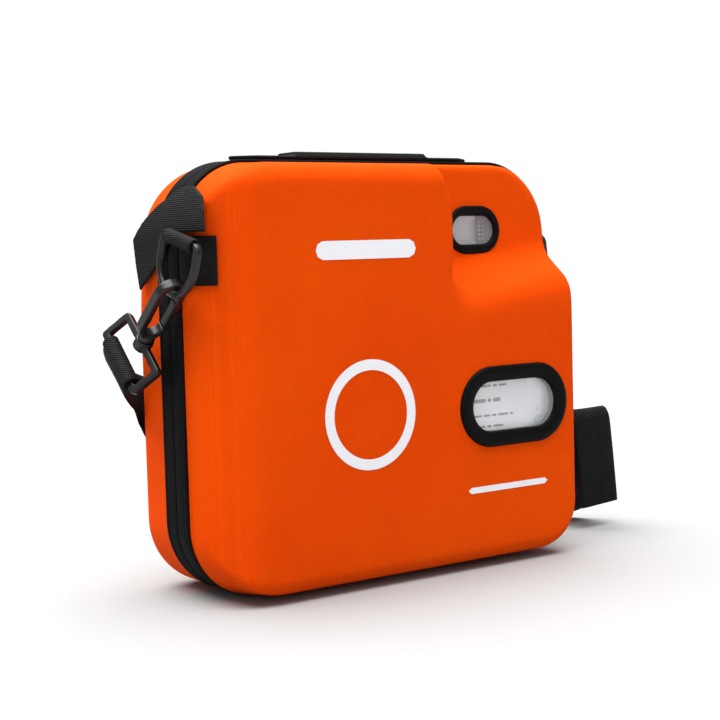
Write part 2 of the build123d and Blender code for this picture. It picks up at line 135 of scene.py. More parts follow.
def orange_laminate():
    """Stretch fabric laminated on moulded foam: a fine knit with a faint cloudy tint."""
    p = Paint("orange_laminate", (0.9, 0.07, 0.0005), 0.85, Specular_IOR_Level=0.03)
    grain = p.noise(1300.0, 3.0)
    cloud = p.noise(9.0, 3.0)
    mix = p.math("ADD", p.math("MULTIPLY", grain, 0.55), p.math("MULTIPLY", cloud, 0.45))
    p.blend_color(mix, (0.73, 0.050, 0.0002), (0.87, 0.086, 0.0004))
    obj = p.coords()
    knit_x = p.wave(p.math("ADD", p.axis(obj, 0), p.axis(obj, 1)), 0.9 * MM)
    knit_z = p.wave(p.axis(obj, 2), 0.7 * MM)
    knit = p.math("ADD", p.math("MULTIPLY", knit_x, knit_z), p.math("MULTIPLY", grain, 1.2))
    p.bump(knit, 0.3, 0.8)
    p.rough_range(grain, 0.62, 0.82)
    return p.mat


def webbing(name, along="uv", pitch=1.5):
    """Black polypropylene webbing with ribs across its length."""
    p = Paint(name, (0.008, 0.008, 0.009), 0.7, Specular_IOR_Level=0.08)
    if along == "uv":
        source = p.coords("UV")
        run, across = p.axis(source, 1), p.axis(source, 0)
    else:
        source = p.coords()
        run = p.axis(source, "xyz".index(along))
        across = p.axis(source, 1)
    rib = p.wave(run, pitch * MM)
    yarn = p.wave(across, 0.9 * MM)
    fuzz = p.noise(900.0, 3.0)
    crossed = p.math("MULTIPLY", p.math("MULTIPLY", rib, yarn), 0.5)
    height = p.math("ADD", p.math("MULTIPLY", rib, 0.9), crossed)
    height = p.math("ADD", height, p.math("MULTIPLY", fuzz, 0.35))
    p.bump(height, 0.35, 0.8)
    # painted shade: the colour is darker in the grooves between the ribs and lighter on their crests, plus a
    # random mottle
    rib_shade_and_mottle = p.math("ADD", p.math("MULTIPLY", rib, 0.45), p.math("MULTIPLY", p.noise(70.0, 4.0), 0.55))
    p.blend_color(rib_shade_and_mottle, (0.002, 0.002, 0.0025), (0.011, 0.011, 0.012))
    p.rough_range(fuzz, 0.5, 0.75)
    return p.mat


def woven_tape():
    """Fine black tape of the seam band."""
    p = Paint("woven_tape", (0.006, 0.006, 0.007), 0.75, Specular_IOR_Level=0.05)
    source = p.coords("UV")
    weave = p.math("MULTIPLY", p.wave(p.axis(source, 0), 1.0 * MM), p.wave(p.axis(source, 1), 1.0 * MM))
    fuzz = p.noise(1100.0, 3.0)
    p.bump(p.math("ADD", weave, fuzz), 0.22, 0.7)
    p.blend_color(p.math("ADD", p.math("MULTIPLY", fuzz, 0.6), p.math("MULTIPLY", p.noise(40.0), 0.4)),
                  (0.0015, 0.0015, 0.002), (0.008, 0.008, 0.009))
    p.rough_range(fuzz, 0.6, 0.8)
    return p.mat


def moulded(name, dark, light, rough=(0.3, 0.45), grain_mm=0.04, **extra):
    """Injection-moulded plastic with a fine grain and faint wear."""
    p = Paint(name, light, rough[0], **extra)
    grain = p.noise(1600.0, 2.0)
    wear = p.noise(55.0, 5.0)
    p.blend_color(wear, dark, light)
    p.bump(grain, grain_mm, 0.6)
    p.rough_range(p.math("ADD", p.math("MULTIPLY", grain, 0.4), p.math("MULTIPLY", wear, 0.6)), *rough)
    return p.mat


def foam_material():
    p = Paint("foam_black", (0.03, 0.03, 0.032), 0.9, Sheen_Weight=0.2)
    cells = p.node("ShaderNodeTexVoronoi", Scale=900.0)
    p.link(p.coords(), cells.inputs["Vector"])
    p.bump(cells.outputs["Distance"], 0.3, 0.8)
    p.blend_color(p.noise(30.0, 4.0), (0.022, 0.022, 0.024), (0.045, 0.045, 0.048))
    return p.mat


def mesh_material():
    p = Paint("knitted_mesh", (0.03, 0.03, 0.032), 0.7, Sheen_Weight=0.2)
    obj = p.coords()
    holes = p.math("MULTIPLY", p.wave(p.math("ADD", p.axis(obj, 0), p.axis(obj, 1)), 2.4 * MM),
                   p.wave(p.axis(obj, 2), 2.4 * MM))
    p.bump(holes, 0.5, 1.0)
    solid = p.math("LESS_THAN", holes, 0.45)
    p.link(solid, p.bsdf.inputs["Alpha"])
    p.blend_color(p.noise(300.0), (0.02, 0.02, 0.022), (0.05, 0.05, 0.055))
    return p.mat


def clear_film():
    """Clear flexible film: mostly see-through, with a soft highlight."""
    p = Paint("clear_film", (0.93, 0.95, 0.97), 0.07, Specular_IOR_Level=0.9, Alpha=0.13)
    p.bump(p.noise(26.0, 2.0), 0.5, 0.35)
    return p.mat


def printed(name, color):
    """Screen-printed ink that follows the fabric's grain."""
    p = Paint(name, color, 0.62)
    grain = p.noise(1300.0, 3.0)
    p.blend_color(grain, tuple(c * 0.90 for c in color), color)
    p.bump(grain, 0.16, 0.5)
    return p.mat


def foil_material():
    p = Paint("foil_pouch", (0.72, 0.74, 0.77), 0.28, Metallic=0.35, Coat_Weight=0.3)
    folds = p.noise(38.0, 4.0)
    p.bump(folds, 1.2, 0.6)
    p.blend_color(folds, (0.62, 0.64, 0.68), (0.84, 0.86, 0.88))
    p.rough_range(folds, 0.2, 0.4)
    return p.mat


def metal_material(name, dark, light):
    p = Paint(name, light, 0.3, Metallic=0.9)
    p.blend_color(p.noise(120.0, 4.0), dark, light)
    p.rough_range(p.noise(300.0, 3.0), 0.25, 0.45)
    return p.mat


ORANGE = orange_laminate()
WEB_UV = webbing("webbing_ribbed")
WEB_Z = webbing("webbing_ribs_z", "z", 1.3)
WEB_X = webbing("webbing_ribs_x", "x", 1.3)
TAPE = woven_tape()
PLASTIC = moulded("acetal_black", (0.004, 0.004, 0.0045), (0.010, 0.010, 0.011), (0.26, 0.42),
                  Specular_IOR_Level=0.4)
BEZEL = moulded("bezel_black", (0.001, 0.001, 0.0012), (0.003, 0.003, 0.0035), (0.45, 0.6),
                Specular_IOR_Level=0.08)
COIL = moulded("coil_black", (0.004, 0.004, 0.005), (0.01, 0.01, 0.011), (0.4, 0.55), Specular_IOR_Level=0.2)
FOAM = foam_material()
MESH = mesh_material()
FILM = clear_film()
INK = printed("ink_white", (0.88, 0.88, 0.92))
LABEL = printed("label_white", (0.86, 0.87, 0.90))
LABEL_INK = printed("label_grey", (0.16, 0.17, 0.19))
CASING = moulded("casing_grey", (0.62, 0.64, 0.66), (0.72, 0.74, 0.76), (0.42, 0.55), 0.08)
DARK = moulded("moulding_dark", (0.035, 0.04, 0.048), (0.06, 0.065, 0.075), (0.4, 0.55))
SEAL = moulded("seal_rubber", (0.02, 0.02, 0.022), (0.035, 0.035, 0.038), (0.6, 0.75))
FOIL = foil_material()
STEEL = metal_material("screw_steel", (0.42, 0.42, 0.44), (0.62, 0.62, 0.64))
ENAMEL = moulded("zip_enamel", (0.010, 0.010, 0.011), (0.03, 0.03, 0.033), (0.18, 0.32), Coat_Weight=0.4)
BOARD = moulded("solder_mask", (0.010, 0.09, 0.035), (0.016, 0.14, 0.055), (0.25, 0.4))
SLEEVE = moulded("capacitor_sleeve", (0.015, 0.03, 0.10), (0.02, 0.045, 0.15), (0.25, 0.4))
GREEN = moulded("cap_green", (0.03, 0.30, 0.08), (0.045, 0.40, 0.11), (0.35, 0.5))
AMBER = moulded("cap_amber", (0.72, 0.13, 0.01), (0.85, 0.19, 0.02), (0.3, 0.45))
SCREEN = moulded("display_grey", (0.66, 0.69, 0.76), (0.78, 0.81, 0.88), (0.2, 0.3))
TINT = moulded("indicator_tint", (0.012, 0.012, 0.02), (0.03, 0.03, 0.045), (0.15, 0.25))


# ---- mesh helpers ----
def make_object(name, verts_mm, faces, material, smooth=True, uvs=None):
    mesh = bpy.data.meshes.new(name)
    mesh.from_pydata([tuple(float(c) * MM for c in v) for v in verts_mm], [], [tuple(f) for f in faces])
    if uvs is not None:
        layer = mesh.uv_layers.new(name="UVMap")
        flat = np.asarray(uvs, dtype=np.float32)
        order = np.zeros(len(mesh.loops), dtype=np.int32)
        mesh.loops.foreach_get("vertex_index", order)
        layer.data.foreach_set("uv", flat[order].ravel())
    mesh.materials.append(material)
    mesh.validate()
    mesh.update()
    if smooth:
        mesh.shade_smooth()
    obj = bpy.data.objects.new(name, mesh)
    bpy.context.scene.collection.objects.link(obj)
    return obj


def apply_modifiers(obj):
    """Puts the result of obj's modifiers into its mesh."""
    graph = bpy.context.evaluated_depsgraph_get()
    done = bpy.data.meshes.new_from_object(obj.evaluated_get(graph))
    obj.modifiers.clear()
    obj.data = done


def outward(obj):
    bm = bmesh.new()
    bm.from_mesh(obj.data)
    bmesh.ops.recalc_face_normals(bm, faces=bm.faces)
    bm.to_mesh(obj.data)
    bm.free()


def softened(node, name, body, material, voxel_mm, rounds):
    """A moulded or soft piece from a CAD node: rounded edges by remeshing and smoothing."""
    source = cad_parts[node]
    obj = bpy.data.objects.new(name, source.data.copy())
    bpy.context.scene.collection.objects.link(obj)
    obj.data.materials.clear()
    obj.data.materials.append(material)
    remesh = obj.modifiers.new("remesh", "REMESH")
    remesh.mode = "VOXEL"
    remesh.voxel_size = voxel_mm * MM
    remesh.use_smooth_shade = True
    smooth = obj.modifiers.new("smooth", "SMOOTH")
    smooth.factor = 0.5
    smooth.iterations = rounds
    apply_modifiers(obj)
    obj.data.shade_smooth()
    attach(obj, body)
    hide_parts(node)


def paint_node(node, material):
    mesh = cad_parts[node].data
    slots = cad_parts[node].material_slots
    if len(slots):
        for s in slots:
            s.material = material
    else:
        mesh.materials.append(material)


def outline_points(half_w, z0, z1, r, count):
    """Evenly spaced points and outward normals round a rounded rectangle, from the base's middle."""
    straight_x, straight_z = 2 * (half_w - r), (z1 - z0) - 2 * r
    arc = math.pi * r / 2
    runs = [straight_x / 2, arc, straight_z, arc, straight_x, arc, straight_z, arc, straight_x / 2]
    total = sum(runs)
    corners = [(half_w - r, z0 + r), (half_w - r, z1 - r), (-(half_w - r), z1 - r), (-(half_w - r), z0 + r)]
    points, normals = [], []
    for i in range(count):
        s = total * i / count
        k = 0
        while s > runs[k] and k < 8:
            s -= runs[k]
            k += 1
        if k % 2:
            cx, cz = corners[k // 2]
            a = -math.pi / 2 + (k // 2) * math.pi / 2 + s / r
            n = (math.cos(a), math.sin(a))
            p = (cx + r * n[0], cz + r * n[1])
        else:
            n = ((0, -1), (1, 0), (0, 1), (-1, 0), (0, -1))[k // 2]
            p = ((s, z0), (half_w, z0 + r + s), (half_w - r - s, z1), (-half_w, z1 - r - s),
                 (-(half_w - r) + s, z0))[k // 2]
        points.append(p)
        normals.append(n)
    return np.array(points), np.array(normals), total


def sweep_outline(name, profile, half_w, z0, z1, r, count, material):
    """Sweeps a closed (offset, y) profile round a rounded rectangle seen from the front."""
    pts, nrm, total = outline_points(half_w, z0, z1, r, count)
    prof = np.array(profile)
    m = len(prof)
    verts, uvs = [], []
    girth = np.concatenate([[0], np.cumsum(np.hypot(*np.diff(prof, axis=0).T))])
    for i in range(count):
        for j in range(m):
            off, y = prof[j]
            verts.append((pts[i][0] + nrm[i][0] * off, y, pts[i][1] + nrm[i][1] * off))
            uvs.append((girth[j] * MM, total * i / count * MM))
    faces = []
    for i in range(count):
        for j in range(m):
            a, b = i * m + j, i * m + (j + 1) % m
            c, d = ((i + 1) % count) * m + (j + 1) % m, ((i + 1) % count) * m + j
            faces.append((a, b, c, d))
    return make_object(name, verts, faces, material, uvs=uvs)


# ---- the moulded shells ----
# the ramp below the recess, rounded where it leaves the recess's floor
RAMP_Z = np.linspace(150, 300, 151)
RAMP_Y = np.interp(RAMP_Z, (150, 174, 186, 193, 200, 206, 213, 226, 300),
                   (-88, -66, -57, -48.5, -38, -28.5, -23.4, -22.1, -22))
RAMP_Y = np.convolve(np.pad(RAMP_Y, 5, "edge"), np.ones(11) / 11, "valid")


def rounded_rect(x, z, half_w, z0, z1, r):
    qx = np.abs(x) - (half_w - r)
    qz = np.abs(z - (z0 + z1) / 2) - ((z1 - z0) / 2 - r)
    return np.hypot(np.maximum(qx, 0), np.maximum(qz, 0)) + np.minimum(np.maximum(qx, qz), 0) - r


def round_join(a, b, r):
    """Where both a and b are inside, with their shared edge rounded to r."""
    return np.hypot(np.maximum(a + r, 0), np.maximum(b + r, 0)) + np.minimum(np.maximum(a, b) + r, 0) - r


def soft_max(a, b, k):
    h = np.maximum(k - np.abs(a - b), 0) / k
    return np.maximum(a, b) + h * h * k * 0.25


def smooth_step(t):
    t = np.clip(t, 0, 1)
    return t * t * (3 - 2 * t)


def base_form(x, d, z, depth, edge_low, edge_high, base_rise, tight):
    """One shell's form, d away from the seam: drafted sides, rounded face, tight lower right corner."""
    out = np.clip((d - BAND_HALF) / (depth - BAND_HALF), 0, 1)
    k = out * DRAFT
    r = BAND_R - BAND_T - k - np.where((x > 0) & (z < 140), out * tight, 0)
    side = rounded_rect(x, z, BAND_HALF_W - BAND_T - k, out * base_rise, BAND_H - BAND_T - k, r)
    edge = edge_low + (edge_high - edge_low) * smooth_step((z - 170) / 100)
    return round_join(side, d - depth, edge)


def front_field(x, y, z):
    """Signed distance, roughly, to the front shell's outside: rounded box, left bevel, stepped recess."""
    f = base_form(x, -y, z, FRONT_D, 9.0, 14.0, 6.0, 16.0)
    cx, a, b = -99.0, 50.0, 43.0
    ellipse = np.hypot(np.minimum(x - cx, 0) / a, np.minimum(y + BAND_HALF, 0) / b)
    bevel = (ellipse - 1) * b
    bevel = round_join(bevel, np.abs(z - 139) - 139, 14.0)
    f = soft_max(f, bevel, 3.0)
    drop = z - np.clip((x - 80) * 0.13, -5, 7)
    floor = np.interp(drop, RAMP_Z, RAMP_Y)
    slope = (np.interp(drop + 1, RAMP_Z, RAMP_Y) - np.interp(drop - 1, RAMP_Z, RAMP_Y)) / 2
    below = (y - floor) / np.sqrt(1 + slope * slope)
    wall = RECESS_X - 8 * smooth_step((z - 246) / 30)
    low = smooth_step((218 - z) / 24)
    tool = round_join(wall - x, below, 11.0 + 10.0 * low)
    crest = 4.0 + 5.0 * low + 4.0 * smooth_step((x - 95) / 40)
    return soft_max(f, -tool, crest)


def rear_field(x, y, z):
    return base_form(x, y, z, REAR_D, 18.0, 32.0, 0.0, 0.0)


def cast(field, level, origin, targets):
    """Points where the rays from origin through targets leave the form at the given level."""
    origin = np.array(origin, float)
    ray = targets - origin
    low, high = np.full(len(targets), 0.2), np.full(len(targets), 1.6)
    for _ in range(34):
        mid = (low + high) / 2
        p = origin + ray * mid[:, None]
        inside = field(p[:, 0], p[:, 1], p[:, 2]) < level
        low, high = np.where(inside, mid, low), np.where(inside, high, mid)
    return origin + ray * ((low + high) / 2)[:, None]


def skin(field, level, sign, depth, cells, rows):
    """One side of a shell: rim loops from the seam edge to the face, then the face's grid."""
    inset = -level
    n = cells * 4
    loop, _, _ = outline_points(BAND_HALF_W - BAND_T - inset, inset, BAND_H - BAND_T - inset,
                                BAND_R - BAND_T - inset, n)
    shift = cells // 2
    loop = np.roll(loop, -shift, axis=0)            # starts near the lower right corner
    origin = (-20.0 if sign < 0 else 0.0, -sign * 60.0, 125.0)
    loops = [np.column_stack([loop[:, 0], np.full(n, sign * BAND_HALF), loop[:, 1]])]
    edge = depth - inset
    for i in range(1, rows):
        d = BAND_HALF + (edge - BAND_HALF) * i / rows
        loops.append(cast(field, level, origin, np.column_stack(
            [loop[:, 0], np.full(n, sign * d), loop[:, 1]])))
    right, top = loop[:cells + 1], loop[cells:2 * cells + 1]
    left, bottom = loop[2 * cells:3 * cells + 1], np.vstack([loop[3 * cells:], loop[:1]])
    u = np.linspace(0, 1, cells + 1)
    grid = np.zeros((cells + 1, cells + 1, 2))
    low, high = bottom, top[::-1]                    # both from left to right
    west, east = left[::-1], right                   # both from bottom to top
    for i in range(cells + 1):
        for j in range(cells + 1):
            s, t = u[i], u[j]
            grid[i, j] = ((1 - t) * low[i] + t * high[i] + (1 - s) * west[j] + s * east[j]
                          - (1 - s) * (1 - t) * low[0] - s * (1 - t) * low[-1]
                          - (1 - s) * t * high[0] - s * t * high[-1])
    flat = grid.reshape(-1, 2)
    targets = np.column_stack([flat[:, 0], np.full(len(flat), sign * edge), flat[:, 1]])
    face = cast(field, level, origin, targets)
    return loops, face.reshape(cells + 1, cells + 1, 3)


def shell(name, field, sign, depth, cells=150, rows=24):
    """A closed shell: outer skin, inner skin, and the neck under the band that joins them."""
    outer_loops, outer_face = skin(field, 0.0, sign, depth, cells, rows)
    inner_loops, inner_face = skin(field, -WALL, sign, depth, cells, rows)
    n = cells * 4

    def neck(inset, y):
        loop, _, _ = outline_points(BAND_HALF_W - BAND_T - inset, BAND_T + inset - 0.3,
                                    BAND_H - BAND_T - inset, BAND_R - BAND_T - inset, n)
        loop = np.roll(loop, -(cells // 2), axis=0)
        return np.column_stack([loop[:, 0], np.full(n, sign * y), loop[:, 1]])

    chain = inner_loops[::-1]
    chain += [neck(WALL + 0.5, BAND_HALF - 2), neck(WALL + 0.5, SEAM_GAP)]
    chain += [neck(0.6, SEAM_GAP), neck(0.6, BAND_HALF - 1)]
    chain += outer_loops
    verts, faces = [], []
    for loop in chain:
        verts.extend(loop.tolist())
    for k in range(len(chain) - 1):
        for i in range(n):
            j = (i + 1) % n
            faces.append((k * n + i, k * n + j, (k + 1) * n + j, (k + 1) * n + i))

    def rim_index(i, j):
        """Position in a loop of the grid's border vertex (i, j)."""
        if i == cells:
            return j
        if j == cells:
            return cells + (cells - i)
        if i == 0:
            return 2 * cells + (cells - j)
        return (3 * cells + i) % n

    for face_grid, rim in ((inner_face, 0), (outer_face, len(chain) - 1)):
        index = {}
        for i in range(cells + 1):
            for j in range(cells + 1):
                if i in (0, cells) or j in (0, cells):
                    index[i, j] = rim * n + rim_index(i, j)
                else:
                    index[i, j] = len(verts)
                    verts.append(face_grid[i, j].tolist())
        for i in range(cells):
            for j in range(cells):
                faces.append((index[i, j], index[i + 1, j], index[i + 1, j + 1], index[i, j + 1]))
    obj = make_object(name, verts, faces, ORANGE)
    outward(obj)
    return obj


def cutter(window, y0, y1):
    """A tool that cuts a window's hole, a little larger than its glass."""
    count, grow = 64, 5.0
    w, h = window["gw"] + grow, window["gh"] + grow
    pts, _, _ = outline_points(w / 2, -h / 2, h / 2, h / 2 - 0.01, count)
    verts = [(window["x"] + p[0], y, window["z"] + p[1]) for y in (y0, y1) for p in pts]
    faces = [tuple(range(count - 1, -1, -1)), tuple(range(count, 2 * count))]
    faces += [(i, (i + 1) % count, count + (i + 1) % count, count + i) for i in range(count)]
    obj = make_object("cutter", verts, faces, ORANGE, smooth=False)
    outward(obj)
    return obj


def make_shells():
    front = shell("case_front_shell", front_field, -1, FRONT_D)
    for window in (STATUS, PADS):
        tool = cutter(window, window["y"] - 12, window["y"] + 14)
        cut = front.modifiers.new("window", "BOOLEAN")
        cut.operation, cut.object, cut.solver = "DIFFERENCE", tool, "MANIFOLD"
        apply_modifiers(front)
        bpy.data.objects.remove(tool)
    rear = shell("case_rear_shell", rear_field, 1, REAR_D)
    for obj, body, node in ((front, "lid", "front_shell"), (rear, "rear", "rear_shell")):
        obj.data.shade_smooth()
        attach(obj, body)
        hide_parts(node)


# ---- the seam band and zip ----
def stitch_line(name, body, offset, y, pitch_mm):
    """A row of short raised stitches round the seam band."""
    steps = 1600
    pts, nrm, total = outline_points(BAND_HALF_W, 0, BAND_H, BAND_R, steps)
    stitches = int(total / pitch_mm)
    verts, faces = [], []
    for s in range(stitches):
        i = int(steps * (s + 0.5) / stitches)
        p, q = pts[i], nrm[i]
        if p[1] < 3:
            continue
        t = np.array([-q[1], q[0]])
        base = len(verts)
        rings = ((-0.5, 0.12), (-0.36, 0.3), (0.0, 0.38), (0.36, 0.3), (0.5, 0.12))
        for along, r in rings:
            for k in range(6):
                a = math.pi * 2 * k / 6
                c = p + t * along * pitch_mm * 0.62 + q * (offset + r * math.sin(a) * 0.8)
                verts.append((c[0], y + r * math.cos(a), c[1]))
        for ring in range(len(rings) - 1):
            for k in range(6):
                a, b = base + ring * 6 + k, base + ring * 6 + (k + 1) % 6
                faces.append((a, b, b + 6, a + 6))
        faces.append(tuple(base + k for k in range(5, -1, -1)))
        faces.append(tuple(base + (len(rings) - 1) * 6 + k for k in range(6)))
    obj = make_object(name, verts, faces, TAPE)
    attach(obj, body)


def make_band():
    for name, body, s in (("front", "lid", -1), ("rear", "rear", 1)):
        half = [(-2.3, 2.7), (-1.05, 2.7), (-1.0, 0.5), (-0.7, 0.38), (-0.4, 0.6), (-0.25, 1.2), (-0.1, 3.0),
                (0.0, 5.0), (0.05, 8.0), (0.0, 9.8), (-0.3, 10.4), (0.1, 11.0), (0.25, 11.9), (0.2, 12.9),
                (-0.2, 13.7), (-1.1, 14.0), (-2.3, 13.9)]
        profile = [(off, s * y) for off, y in half]
        ring = sweep_outline("band_" + name, profile, BAND_HALF_W, 0, BAND_H, BAND_R, 520, TAPE)
        outward(ring)
        ring.data.shade_smooth()
        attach(ring, body)
        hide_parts("zip_tape_" + name)
        stitch_line("band_stitches_" + name, body, -0.1, s * 9.6, 3.0)
        make_coil(name, body, s)
        paint_node("hinge_leaf_" + name, WEB_X)


def make_coil(name, body, s):
    """Interlocking coil teeth of one half of the zip, on the sides and top."""
    steps, pitch_mm = 2400, 1.9
    pts, nrm, total = outline_points(BAND_HALF_W, 0, BAND_H, BAND_R, steps)
    teeth = int(total / pitch_mm)
    verts, faces = [], []
    for k in range(teeth):
        i = int(steps * (k + (0.25 if s > 0 else 0.75)) / teeth) % steps
        p, q = pts[i], nrm[i]
        if p[1] < 31:
            continue
        t = np.array([-q[1], q[0]])
        base = len(verts)
        for y in (0.35, 1.0, 1.7, 2.3):
            wide = 0.62 if y < 1.5 else 0.45
            for along, off in ((-wide, -2.0), (wide, -2.0), (wide * 0.8, -1.15), (-wide * 0.8, -1.15)):
                c = p + t * along + q * off
                verts.append((c[0], s * y, c[1]))
        for row in range(3):
            for c in range(4):
                a, b = base + row * 4 + c, base + row * 4 + (c + 1) % 4
                faces.append((a, b, b + 4, a + 4))
        faces.append((base + 3, base + 2, base + 1, base))
        faces.append((base + 12, base + 13, base + 14, base + 15))
    obj = make_object("zip_teeth_" + name, verts, faces, COIL)
    outward(obj)
    obj.data.shade_smooth()
    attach(obj, body)
    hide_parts("zip_coil_" + name)


# ---- windows ----
def bezel(window, name):
    """A rounded frame round a window, with a crowned face and an inner lip."""
    count = 180
    inner, _, _ = outline_points(window["gw"] / 2, -window["gh"] / 2, window["gh"] / 2,
                                 window["gh"] / 2 - 0.01, count)
    outer, _, _ = outline_points(window["w"] / 2, -window["h"] / 2, window["h"] / 2,
                                 window["h"] / 2 - 0.01, count)
    profile = [(0.0, 4.6), (0.0, 2.2), (0.02, 0.4), (0.05, -0.5), (0.12, -1.1), (0.2, -1.5), (0.34, -1.95),
               (0.52, -2.25), (0.72, -2.3), (0.86, -2.0), (0.95, -1.4), (0.995, -0.5), (1.0, 0.3), (0.8, 0.5),
               (0.3, 0.5), (0.28, 4.6)]
    verts, faces = [], []
    for i in range(count):
        for share, depth in profile:
            p = inner[i] * (1 - share) + outer[i] * share
            verts.append((window["x"] + p[0], window["y"] + depth, window["z"] + p[1]))
    m = len(profile)
    for i in range(count):
        for j in range(m):
            k, l = (i + 1) % count, (j + 1) % m
            faces.append((i * m + j, i * m + l, k * m + l, k * m + j))
    obj = make_object("frame_" + name, verts, faces, BEZEL)
    outward(obj)
    obj.data.shade_smooth()
    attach(obj, "lid")
    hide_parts(name + "_bezel")


def make_windows():
    for window, name in ((STATUS, "status"), (PADS, "pads")):
        bezel(window, name)
        paint_node(name + "_pane", FILM)


# ---- webbing ----
def spline_points(points, step):
    """Evenly spread points on a smooth curve through the given ones."""
    p = np.array(points, float)
    p = np.vstack([2 * p[0] - p[1], p, 2 * p[-1] - p[-2]])
    out = []
    for i in range(1, len(p) - 2):
        gap = np.linalg.norm(p[i + 1][:3] - p[i][:3])
        n = max(2, int(gap / step))
        for k in range(n):
            t = k / n
            out.append(0.5 * ((2 * p[i]) + (-p[i - 1] + p[i + 1]) * t
                              + (2 * p[i - 1] - 5 * p[i] + 4 * p[i + 1] - p[i + 2]) * t * t
                              + (-p[i - 1] + 3 * p[i] - 3 * p[i + 1] + p[i + 2]) * t ** 3))
    out.append(p[-2])
    return np.array(out)


def strap(name, stations, body, nodes, curl=0.5):
    """Flat webbing along stations of (centre, direction across), with a woven edge."""
    rows = spline_points([(*c, *w) for c, w in stations], 2.0)
    centre, across = rows[:, :3], rows[:, 3:]
    tangent = np.gradient(centre, axis=0)
    tangent /= np.linalg.norm(tangent, axis=1)[:, None]
    across = across - tangent * np.sum(across * tangent, axis=1)[:, None]
    across /= np.linalg.norm(across, axis=1)[:, None]
    normal = np.cross(tangent, across)
    run = np.concatenate([[0], np.cumsum(np.linalg.norm(np.diff(centre, axis=0), axis=1))])
    cols = np.linspace(-1, 1, 17)
    top = [(c, 1.0 if abs(c) < 0.85 else (0.78 if abs(c) < 0.95 else 0.3)) for c in cols]
    ring = top + [(c, -h) for c, h in reversed(top)]
    verts, uvs, faces = [], [], []
    m = len(ring)
    for i in range(len(rows)):
        ripple = curl * math.sin(run[i] / 23.0) * math.sin(run[i] / 61.0 + 0.8)
        for c, h in ring:
            bow = ripple * (c * c - 0.4)
            p = centre[i] + across[i] * c * WEB_W / 2 + normal[i] * (h * WEB_T / 2 + bow)
            verts.append(p)
            uvs.append((c * WEB_W / 2 * MM, run[i] * MM))
    for i in range(len(rows) - 1):
        for j in range(m):
            a, b = i * m + j, i * m + (j + 1) % m
            faces.append((a, b, b + m, a + m))
    faces.append(tuple(range(m - 1, -1, -1)))
    faces.append(tuple((len(rows) - 1) * m + j for j in range(m)))
    obj = make_object(name, verts, faces, WEB_UV, uvs=uvs)
    outward(obj)
    obj.data.shade_smooth()
    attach(obj, body)
    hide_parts(*nodes)


START_L = (-178.7, 23.5, 150.4)
END_R = (172.6, 37.2, 124.8)
STRAP_RUN = [(START_L, (0, -0.72, -0.69)),
             ((-176.8, 27.5, 147.0), (0, -0.72, -0.69)), ((-169.0, 38.0, 140), (0.02, -0.72, -0.69)),
             ((-158.0, 48.5, 134), (-0.05, -0.66, -0.74)), ((-145.5, 58.5, 126), (-0.15, -0.45, -0.88)),
             ((-128.0, 67.5, 115), (-0.35, -0.15, -0.92)), ((-108.0, 69, 98), (-0.62, 0, -0.78)),
             ((-84.0, 69, 70), (-0.66, 0, -0.75)), ((-52.0, 68.5, 42), (-0.5, 0, -0.86)),
             ((-12.0, 68, 26), (-0.2, 0, -0.97)), ((44.0, 68, 22.4), (0, 0, -1)),
             ((90.0, 68, 24.0), (0, 0, -1)), ((128.0, 68, 24.4), (0.1, 0, -1)),
             ((156.0, 65, 33), (0.45, -0.35, -0.8)), ((173.0, 59, 58), (0.5, -0.75, -0.4)),
             ((180.0, 50, 88), (0.25, -0.93, -0.25)), ((175.0, 39.6, 117.2), (0, -0.95, -0.3)),
             (END_R, (0, -0.95, -0.3))]
TAIL_RUN = [((98.0, 70.5, 24.0), (0, 0, -1)), ((134.0, 71.5, 24.0), (0, 0, -1)),
            ((166.0, 76, 22.4), (0, 0, -1)), ((192.0, 70, 20.0), (0.1, 0.2, -0.97)),
            ((212.0, 54, 17.5), (0.35, 0.45, -0.8)), ((222.0, 38, 17.0), (0.75, 0.3, -0.6)),
            ((222.0, 27, 26), (0.95, 0.1, -0.25)), ((219.0, 21, 46), (1, 0, -0.05)),
            ((217.0, 18.5, 70), (1, 0, 0)), ((217.0, 16.0, 86), (1, 0, 0)),
            ((217.5, 11.0, 91.5), (1, 0, 0)), ((218.5, 6.0, 86), (1, 0, 0)),
            ((220.0, 4.5, 66), (1, 0, -0.03)), ((222.0, 3.5, 40), (1, 0, -0.06)),
            ((223.5, 2.5, 17), (1, 0, -0.2))]


def make_webbing():
    strap("strap_webbing", STRAP_RUN, "strap", ["shoulder_strap"])
    strap("strap_tail_webbing", TAIL_RUN, "strap", ["strap_tail"], curl=0.3)
    softened("yoke_l", "corner_yoke_left", "rear", WEB_Z, 0.8, 4)
    softened("yoke_r", "corner_tab_right", "rear", WEB_Z, 0.8, 4)
    softened("yoke_leg_front_l", "corner_leg_left", "lid", WEB_Z, 0.7, 4)
    softened("carry_handle", "handle_webbing", "rear", WEB_X, 0.9, 5)
    for side in "lr":
        softened("ring_loop_" + side, "ring_roll_" + side, "strap", WEB_Z, 0.6, 3)
        softened("strap_end_" + side, "strap_end_loop_" + side, "strap", WEB_Z, 0.6, 3)


def make_hardware():
    for side in "lr":
        softened("d_ring_" + side, "ring_" + side, "strap", PLASTIC, 0.55, 6)
        softened("hook_" + side, "snap_hook_" + side, "strap", PLASTIC, 0.55, 7)
        softened("hook_gate_" + side, "snap_gate_" + side, "gate_" + side, PLASTIC, 0.45, 5)
        softened("swivel_frame_" + side, "swivel_loop_" + side, "strap", PLASTIC, 0.55, 6)
    softened("tri_glide", "strap_slide", "strap", PLASTIC, 0.55, 5)
    softened("zip_slider", "zip_slider_body", "slider", ENAMEL, 0.35, 4)
    softened("zip_pull", "zip_pull_tab", "pull", ENAMEL, 0.35, 4)


